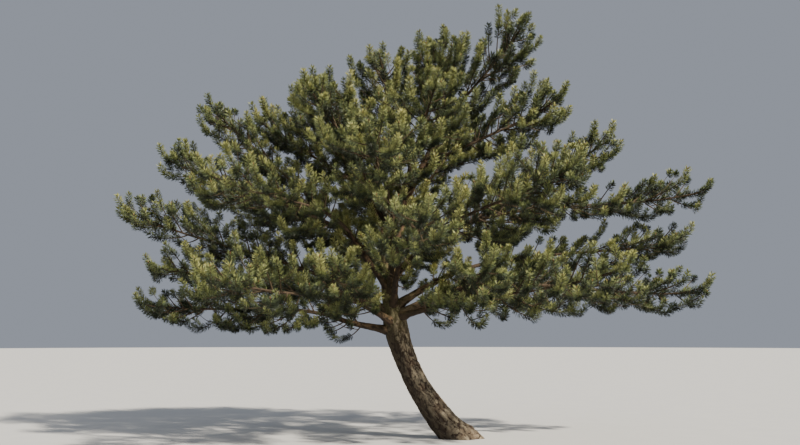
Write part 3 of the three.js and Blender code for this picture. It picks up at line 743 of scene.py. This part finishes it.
def bark_surface(limb, places, radius, sides, plates, seed, swell=None):
    """Vertices of a limb with its bark in relief, and the marks that its shader reads. radius holds one for
    each place, and plates is their width, length and depth."""
    plate_width, plate_length, depth = plates
    line = limb.point(places)
    along = limb.direction(places)
    chord = unit(line[-1] - line[0])
    reference = (0, 1, 0) if abs(chord[1]) < 0.6 else (1, 0, 0)
    side = unit(np.cross(reference, along))
    over = np.cross(along, side)
    run = np.concatenate([[0], np.cumsum(np.linalg.norm(np.diff(line, axis=0), axis=1))])
    run, angle = np.meshgrid(run, np.arange(sides) * 2 * math.pi / sides, indexing="ij")
    cells = max(4, round(2 * math.pi * float(radius.mean()) / plate_width))
    wander = 0.3 * waves(run, angle, seed) + 0.22 * waves(run, angle, seed + 3, (4, 6, 9), 2.0)
    drift = 0.4 * waves(run, angle, seed + 4) + 0.2 * waves(run, angle, seed + 5, (5, 7, 8), 2.0)
    rows = run / plate_length + drift + 2
    columns = angle / (2 * math.pi) * cells + wander
    plate, tone = bark_plates(rows, columns, cells, seed)
    finer = (rows * FLAKES_ALONG, columns * FLAKES_AROUND, cells * FLAKES_AROUND)
    flake, flake_tone = bark_plates(*finer, seed + 1)
    worn = 0.5 * mottle(rows * FLAKES_ALONG / 2, columns, cells, seed + 6) + 0.5 * mottle(*finer, seed + 7)
    plate = np.maximum(plate, smoothstep(0.54, 0.72, worn)) * smoothstep(0.12, 0.38, worn)
    tone = 0.3 * tone + 0.7 * worn
    widen = swell(line[:, 2][:, None], angle) if swell else 1.0
    fine_relief = 0.35 * (flake - 0.7) + 0.3 * (flake_tone - 0.5)
    relief = depth * (plate - 0.7 + 0.6 * (tone - 0.5) * plate + fine_relief)
    lumps = 1 + 0.04 * waves(run, angle, seed + 2, rate=0.6)
    size = radius[:, None] * widen * lumps + relief * np.minimum(1, radius[:, None] / 0.05)
    out = side[:, None] * np.cos(angle)[..., None] + over[:, None] * np.sin(angle)[..., None]
    vertices = line[:, None] + out * size[..., None]
    near_fork = np.exp(-((vertices - FORK) ** 2).sum(-1) / MOSS_REACH**2)
    marks = {
        "plate": plate * mix(0.55, 1.0, flake),
        "tone": 0.7 * tone + 0.3 * flake_tone,
        # painted shade: darker where the bark faces away from the lit side
        "damp": smoothstep(-0.45, 0.5, -out @ LIT_SIDE),
        "moss": near_fork * np.clip(0.75 + out[..., 2], 0, 1),
    }
    return vertices.reshape(-1, 3), {mark: values.ravel() for mark, values in marks.items()}


def tube_caps(first, rings, sides):
    """Faces that close both ends of a tube"""
    root = np.arange(sides)[::-1] + first
    tip = np.arange(sides) + first + (rings - 1) * sides
    return np.stack([root, tip])


def make_trunk(trunk, materials):
    """The trunk with its bark in relief, cut off flat at the ground as its solid is"""
    foot, lean = trunk.point(0), trunk.direction(0)

    def on_trunk(share):
        """The place on the trunk, from a share of the whole tube, which begins below the ground"""
        return np.maximum(0, (share - UNDERGROUND_SHARE) / (1 - UNDERGROUND_SHARE))

    def point(share):
        below = foot + lean * ((share / UNDERGROUND_SHARE - 1) * UNDERGROUND)[..., None]
        return np.where((share >= UNDERGROUND_SHARE)[..., None], trunk.point(on_trunk(share)), below)

    def swell(height, angle):
        lobe = 1 - LOBE_DEPTH + LOBE_DEPTH * np.cos(FLARE_LOBES * angle + LOBE_TURN)
        return 1 + FLARE * lobe * np.exp(-np.maximum(0, height) / FLARE_HEIGHT)

    shares = np.linspace(0, 1, TRUNK_RINGS)
    places = on_trunk(shares)
    vertices, marks = bark_surface(
        TracedLimb(point), shares, trunk.radius(places), TRUNK_SIDES, TRUNK_PLATES, TRUNK_SEED, swell)
    marks["old"] = 1 - smoothstep(*OLD_BARK, np.repeat(places, TRUNK_SIDES))
    faces = [tube_faces(TRUNK_RINGS, TRUNK_SIDES), tube_caps(0, TRUNK_RINGS, TRUNK_SIDES)]
    piece = add_mesh("bark_trunk", vertices, faces, materials, marks=marks)
    shape = bmesh.new()
    shape.from_mesh(piece.data)
    everything = shape.verts[:] + shape.edges[:] + shape.faces[:]
    cut = bmesh.ops.bisect_plane(shape, geom=everything, plane_no=UP, clear_inner=True)
    edges = [part for part in cut["geom_cut"] if isinstance(part, bmesh.types.BMEdge)]
    bmesh.ops.holes_fill(shape, edges=edges)
    shape.to_mesh(piece.data)
    shape.free()
    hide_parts("trunk")


def make_boughs(boughs, materials):
    """All boughs in one piece, each with a collar where it leaves what it grows from"""
    vertices, faces, caps, marks = [], [], [], []
    first = 0
    for i, bough in enumerate(boughs.values()):
        length = bough.length()
        rings = max(12, round(length / BOUGH_RING_STEP))
        places = np.linspace(0, 1, rings)
        radius = bough.radius(places)
        away = np.maximum(0, places * length - bough.parent_radius)
        collar = 1 + COLLAR * np.exp(-away / COLLAR_REACH)
        points, point_marks = bark_surface(
            bough, places, radius * collar, BOUGH_SIDES, BOUGH_PLATES, BOUGH_SEED + i)
        point_marks["old"] = BOUGH_OLDEST * smoothstep(*BOUGH_OLD, np.repeat(radius, BOUGH_SIDES))
        point_marks["moss"] *= BOUGH_MOSS
        vertices.append(points)
        faces.append(tube_faces(rings, BOUGH_SIDES) + first)
        caps.append(tube_caps(first, rings, BOUGH_SIDES))
        marks.append(point_marks)
        first += len(points)
    marks = {mark: np.concatenate([each[mark] for each in marks]) for mark in marks[0]}
    faces = [np.concatenate(faces), np.concatenate(caps)]
    piece = add_mesh("bark_boughs", np.concatenate(vertices), faces, materials, marks=marks)
    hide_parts(*boughs)


def make_twigs(masses, materials):
    """The stems, twigs and shoots' own wood, in one piece"""
    stem_places = np.linspace(0, STEM_SHOWN, STEM_RINGS)
    stems = np.stack([mass.stem.point(stem_places) for mass in masses])
    stem_radii = np.stack([mass.stem.radius(stem_places) for mass in masses])
    kinds = [(stems, stem_radii, STEM_SIDES)]
    thin = [
        ([twig for mass in masses for twig in mass.twigs()], TWIG_RADII),
        ([twig[::2] for mass in masses for twig in mass.side_twigs], SIDE_TWIG_RADII),
        ([shoot[:3] for mass in masses for shoot in mass.shoots], SHOOT_RADII),
    ]
    for lines, ends in thin:
        lines = np.array(lines)
        radii = np.broadcast_to(np.linspace(*ends, lines.shape[1]), lines.shape[:2])
        kinds.append((lines, radii, THIN_SIDES))
    vertices, faces = [], []
    first = 0
    for kind in kinds:
        points, quads = tubes(*kind)
        vertices.append(points)
        faces.append(quads + first)
        first += len(points)
    stem_faces = len(faces[0])
    faces = np.concatenate(faces)
    is_twig = np.arange(len(faces)) >= stem_faces
    piece = add_mesh("twigs", np.concatenate(vertices), [faces], materials, is_twig)


def make_buds(masses, materials):
    """A pointed bud at the end of each outer shoot"""
    shoots = [shoot for mass in masses for shoot in mass.shoots]
    shoots = [shoot for shoot in shoots if shoot.has_bud and shoot.outward > BUD_OUTWARD]
    tips = np.array([shoot.end for shoot in shoots])
    along = unit(tips - np.array([shoot.middle for shoot in shoots]))
    lines = tips[:, None] + along[:, None] * BUD_STEPS[:, None]
    vertices, faces = tubes(lines, np.broadcast_to(BUD_RADII, lines.shape[:2]), THIN_SIDES)
    piece = add_mesh("buds", vertices, [faces], materials)


def needle_vertices(shoots, seed):
    """Four corners for each needle: its root, both edges and its tip, folded along its middle"""
    draws = np.random.default_rng(seed)
    start, middle, end = (np.array([shoot[i] for shoot in shoots])[:, None] for i in range(3))
    count = len(shoots)
    s = np.clip(NEEDLE_PLACES[:, None] + draws.normal(0, 0.012, (count, NEEDLE_PAIRS, 1)), 0.01, 1)
    place = (1 - s) ** 2 * start + 2 * (1 - s) * s * middle + s**2 * end
    along = unit((1 - s) * (middle - start) + s * (end - middle))
    side = unit(np.cross((0.31, 0.21, 0.93), along))
    over = np.cross(along, side)
    turn = np.arange(NEEDLE_PAIRS)[None, :, None] * GOLDEN_TURN + draws.uniform(0, 6.3, (count, 1, 1))
    turn = turn + draws.normal(0, 0.2, turn.shape)
    opening = mix(*NEEDLE_OPENS, s) + draws.normal(0, 0.11, s.shape)
    crowning = s > CROWNING_NEEDLES
    opening = np.where(crowning, opening * draws.uniform(*CROWNING_OPENS, s.shape), opening)
    spread = draws.uniform(*NEEDLE_SPREAD, s.shape)
    length = NEEDLE_LENGTH * spread * np.where(crowning, CROWNING_LENGTH, 1)
    corners = []
    for splay in (-PAIR_SPLAY, PAIR_SPLAY):
        out = side * np.cos(turn + splay) + over * np.sin(turn + splay)
        leave = opening + splay * SPLAY_FORWARD
        heading = unit(along * np.cos(leave) + out * np.sin(leave))
        edge = unit(np.cross(heading, out) + out * draws.normal(0, 0.5, s.shape)) * NEEDLE_WIDTH / 2
        lift = np.cross(edge, heading) * NEEDLE_FOLD
        belly = place + heading * length * NEEDLE_BELLY
        tip = place + heading * length
        corners.append(np.stack([place, belly - edge + lift, belly + edge + lift, tip], 2))
    return np.stack(corners, 2)


def needle_tones_and_painted_light(shoots, needles, colours):
    """Each needle's colour: its shoot's own random tone, with painted light and shade: lighter at a mass's
    edge, at a shoot's end and where it rises, darker far out
    """
    outward = np.minimum(1, [shoot.outward for shoot in shoots])[:, None, None]
    own = np.array([shoot.shade for shoot in shoots])[:, None, None]
    ends = np.array([shoot.end for shoot in shoots])
    rim = np.linalg.norm((ends - CROWN_MIDDLE) / CROWN_HALVES, axis=1)[:, None, None]
    along = NEEDLE_PLACES[:, None]
    rise = (needles[..., 3, 2] - needles[..., 0, 2]) / NEEDLE_LENGTH
    # painted light and shade: outward, along and rise lighten needles where light falls, rim darkens them;
    # own is a random tone
    lightness_with_painted_light = 0.2 + 0.35 * outward + 0.38 * own + 0.16 * (along - 0.5) + 0.32 * (rise - 0.4) - 0.26 * rim
    return np.clip(lightness_with_painted_light * colours, 0, colours - 1).astype(int)


def make_needles(name, masses, materials, seed):
    shoots = [shoot for mass in masses for shoot in mass.shoots]
    needles = needle_vertices(shoots, seed)
    shades = np.repeat(needle_tones_and_painted_light(shoots, needles, len(materials)).ravel(), 2)
    vertices = needles.reshape(-1, 3)
    root = np.arange(len(vertices) // 4)[:, None] * 4
    faces = np.concatenate([root + [0, 2, 3], root + [0, 3, 1]], 1).reshape(-1, 3)
    piece = add_mesh(name, vertices, [faces], materials, shades, smooth=False)
    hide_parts(*[mass.name for mass in masses])


class Socket:
    """A shader node's output. Python's + and * on it add Math nodes."""

    def __init__(self, shader, link):
        self.shader = shader
        self.link = link

    def __add__(self, other):
        return self.shader.maths("ADD", self, other)

    def __mul__(self, other):
        return self.shader.maths("MULTIPLY", self, other)

    __radd__ = __add__
    __rmul__ = __mul__


class Shader:
    """A material on one Principled shader, and the nodes that feed it"""

    def __init__(self, name, shine):
        self.material = bpy.data.materials.new(name)
        self.material.use_nodes = True
        self.tree = self.material.node_tree
        self.surface = self.tree.nodes["Principled BSDF"]
        self.surface.inputs["Specular IOR Level"].default_value = shine

    def node(self, kind, settings=None, inputs=None, output=0):
        node = self.tree.nodes.new("ShaderNode" + kind)
        for setting, value in (settings or {}).items():
            setattr(node, setting, value)
        for socket, value in (inputs or {}).items():
            self.feed(node.inputs[socket], value)
        return Socket(self, node.outputs[output])

    def feed(self, socket, value):
        """The value is a number, a colour or a Socket."""
        if isinstance(value, Socket):
            self.tree.links.new(value.link, socket)
        else:
            socket.default_value = (*value, 1) if isinstance(value, tuple) else value

    def maths(self, operation, *values):
        return self.node("Math", {"operation": operation}, dict(enumerate(values)))

    def mark(self, name):
        return self.node("Attribute", {"attribute_name": name}, output="Fac")

    def noise(self, scale, detail=3.0):
        place = self.node("TexCoord", output="Object")
        return self.node("TexNoise", {}, {"Vector": place, "Scale": scale, "Detail": detail})

    def ramp(self, value, low, high):
        """0 where the value is below low, 1 where it is above high"""
        inputs = {"Value": value, "From Min": low, "From Max": high}
        return self.node("MapRange", {"interpolation_type": "SMOOTHSTEP"}, inputs)

    def blend(self, share, first, second):
        return self.node("Mix", {"data_type": "RGBA"}, {0: share, 6: first, 7: second}, output=2)

    def coat(self, colour, roughness):
        self.feed(self.surface.inputs["Base Color"], colour)
        self.feed(self.surface.inputs["Roughness"], roughness)

    def bump(self, height, strength, distance):
        inputs = {"Height": height, "Strength": strength, "Distance": distance}
        self.feed(self.surface.inputs["Normal"], self.node("Bump", {}, inputs))


def bark_shader():
    """Grey-brown plates over dark furrows low down, thin red-brown bark higher up, moss round the fork, and
    painted shade on the side away from the sun
    """
    shader = Shader("bark", 0.25)
    plate, tone, old = shader.mark("plate"), shader.mark("tone"), shader.mark("old")
    speckle = shader.noise(90.0)
    patch = shader.noise(9.0)
    pale = shader.ramp(tone + speckle * 0.6, 0.5, 1.1)
    top = shader.blend(pale, (0.048, 0.037, 0.029), (0.34, 0.285, 0.195))
    top = shader.blend(shader.ramp(patch, 0.46, 0.62) * 0.5, top, (0.105, 0.068, 0.043))
    furrow = shader.blend(speckle, (0.014, 0.009, 0.007), (0.055, 0.032, 0.021))
    low = shader.blend(shader.ramp(plate, 0.1, 0.8), furrow, top)
    pale = shader.ramp(tone + speckle * 0.5, 0.4, 1.15)
    young = shader.blend(pale, (0.026, 0.015, 0.01), (0.17, 0.108, 0.06))
    young = shader.blend(shader.ramp(plate, 0.1, 0.7), (0.016, 0.01, 0.007), young)
    bark = shader.blend(old, young, low)
    # painted shade: bark on the side away from the sun and underneath is darkened
    bark = shader.blend(shader.mark("damp") * 0.84, bark, (0.017, 0.012, 0.009))
    moss = shader.mark("moss") * shader.ramp(shader.noise(26.0) + 0.3 * speckle, 0.42, 0.66)
    green = shader.blend(speckle, (0.06, 0.066, 0.02), (0.2, 0.19, 0.075))
    shader.coat(shader.blend(moss, bark, green), 0.78 + 0.2 * speckle)
    shader.bump(speckle + 1.4 * shader.noise(260.0), 0.6, 0.003)
    return shader.material


def twig_shader(name, dark, light):
    shader = Shader(name, 0.3)
    rough = shader.noise(140.0)
    shader.coat(shader.blend(shader.ramp(rough, 0.35, 0.65), dark, light), 0.7 + 0.25 * rough)
    shader.bump(rough, 0.5, 0.002)
    return shader.material


def needle_shader(name, colour):
    """One plain green of a needle, with a little of it lighter and darker"""
    shader = Shader(name, 0.42)
    grain = shader.noise(45.0, 2.0)
    darker = tuple(c * 0.78 for c in colour)
    lighter = tuple(c * 1.24 for c in colour)
    shader.coat(shader.blend(shader.ramp(grain, 0.35, 0.65), darker, lighter), 0.46 + 0.16 * grain)
    return shader.material


# Greens from darkest to lightest: each needle gets one by its shoot's random tone and by painted light and
# shade
NEEDLE_COLOURS = [
    ("deep_green", (0.017, 0.024, 0.011)),
    ("blue_green", (0.05, 0.068, 0.03)),
    ("needle_green", (0.115, 0.138, 0.046)),
    ("grey_green", (0.188, 0.207, 0.07)),
    ("olive_green", (0.265, 0.275, 0.09)),
    ("yellow_green", (0.345, 0.338, 0.115)),
]

# Pieces of needles, and how the names of their masses go on after needles_. The first that fits takes a mass.
NEEDLE_PIECES = [
    ("needles_of_left", ("left_",)),
    ("needles_of_right", ("right_low", "right_mid", "right_arm", "right_high")),
    ("needles_of_top", ("top", "right_plume", "crown_", "shoulder")),
    ("needles_low_in_front", ("front_", "low_1", "low_2", "low_3")),
    ("needles_high_in_front", ("mid_1", "mid_2", "mid_3", "high_1", "high_2")),
    ("needles_low_behind", ("low_",)),
    ("needles_high_behind", ("mid_", "high_")),
]


def grow_crown():
    """The limbs, and the masses with all that grows in them"""
    limbs, rows = crown_plan()
    masses = make_masses(limbs, rows)
    crowd = Crowd(limbs.values())
    sprayed = set()
    for i, (mass, row) in enumerate(zip(masses, rows)):
        grow_twigs(mass, MASS_SEED + i, crowd)
        grow_shoots(mass, MASS_SEED + i, crowd)
        bough = row[1]
        if bough not in sprayed:
            sprayed.add(bough)
            sprays = bough_sprays(mass.name, limbs[bough])
            grow_twigs(sprays, SPRAYS_SEED + i, crowd)
            grow_shoots(sprays, SPRAYS_SEED + i, crowd)
            mass.more_twigs += sprays.twigs()
            mass.side_twigs += sprays.side_twigs
            mass.shoots += sprays.shoots
    return limbs, masses


def dress_tree():
    limbs, masses = grow_crown()
    bark = bark_shader()
    make_trunk(limbs.pop("trunk"), [bark])
    make_boughs(limbs, [bark])
    stem_bark = twig_shader("stem_bark", (0.024, 0.016, 0.011), (0.1, 0.069, 0.041))
    twig_bark = twig_shader("twig_bark", (0.03, 0.021, 0.013), (0.11, 0.078, 0.042))
    make_twigs(masses, [stem_bark, twig_bark])
    make_buds(masses, [twig_shader("bud_scales", (0.16, 0.06, 0.03), (0.34, 0.16, 0.08))])
    greens = [needle_shader(name, colour) for name, colour in NEEDLE_COLOURS]
    for seed, (name, words) in enumerate(NEEDLE_PIECES):
        chosen = [mass for mass in masses if mass.name.removeprefix("needles_").startswith(words)]
        masses = [mass for mass in masses if mass not in chosen]
        make_needles(name, chosen, greens, seed)


def make_floor():
    shader = Shader("floor", 0.2)
    shader.coat(shader.blend(shader.noise(3.0), (0.60, 0.60, 0.59), (0.66, 0.655, 0.64)), 0.9)
    bpy.ops.mesh.primitive_circle_add(vertices=96, radius=60, fill_type="NGON", location=(0, 0, 0))
    floor = bpy.context.object
    floor.name = "floor"
    floor.data.materials.append(shader.material)


def make_light():
    """A warm sun from the right of the front, a broad soft light from the front, and a pale blue sky"""
    lamps = [
        ("sun", 8.0, 3, (1.0, 0.92, 0.78), (52, 44)),
        ("front_light", 0.7, 70, (1.0, 0.97, 0.9), (78, -4)),
    ]
    for name, strength, breadth, colour, (tilt, turn) in lamps:
        light = bpy.data.lights.new(name, "SUN")
        light.energy = strength
        light.angle = math.radians(breadth)
        light.color = colour
        lamp = bpy.data.objects.new(name, light)
        lamp.rotation_euler = (math.radians(tilt), 0, math.radians(turn))
        bpy.context.scene.collection.objects.link(lamp)
    world = bpy.data.worlds.new("sky")
    world.use_nodes = True
    background = world.node_tree.nodes["Background"]
    background.inputs["Color"].default_value = (0.66, 0.72, 0.84, 1)
    background.inputs["Strength"].default_value = 0.44
    bpy.context.scene.world = world


def make_camera():
    lens = bpy.data.cameras.new("camera")
    lens.lens = CAMERA_LENS
    camera = bpy.data.objects.new("camera", lens)
    camera.location = CAMERA_PLACE
    camera.rotation_euler = (math.pi / 2 + CAMERA_TILT, 0, 0)
    bpy.context.scene.collection.objects.link(camera)
    bpy.context.scene.camera = camera


make_camera()
make_floor()
make_light()
dress_tree()
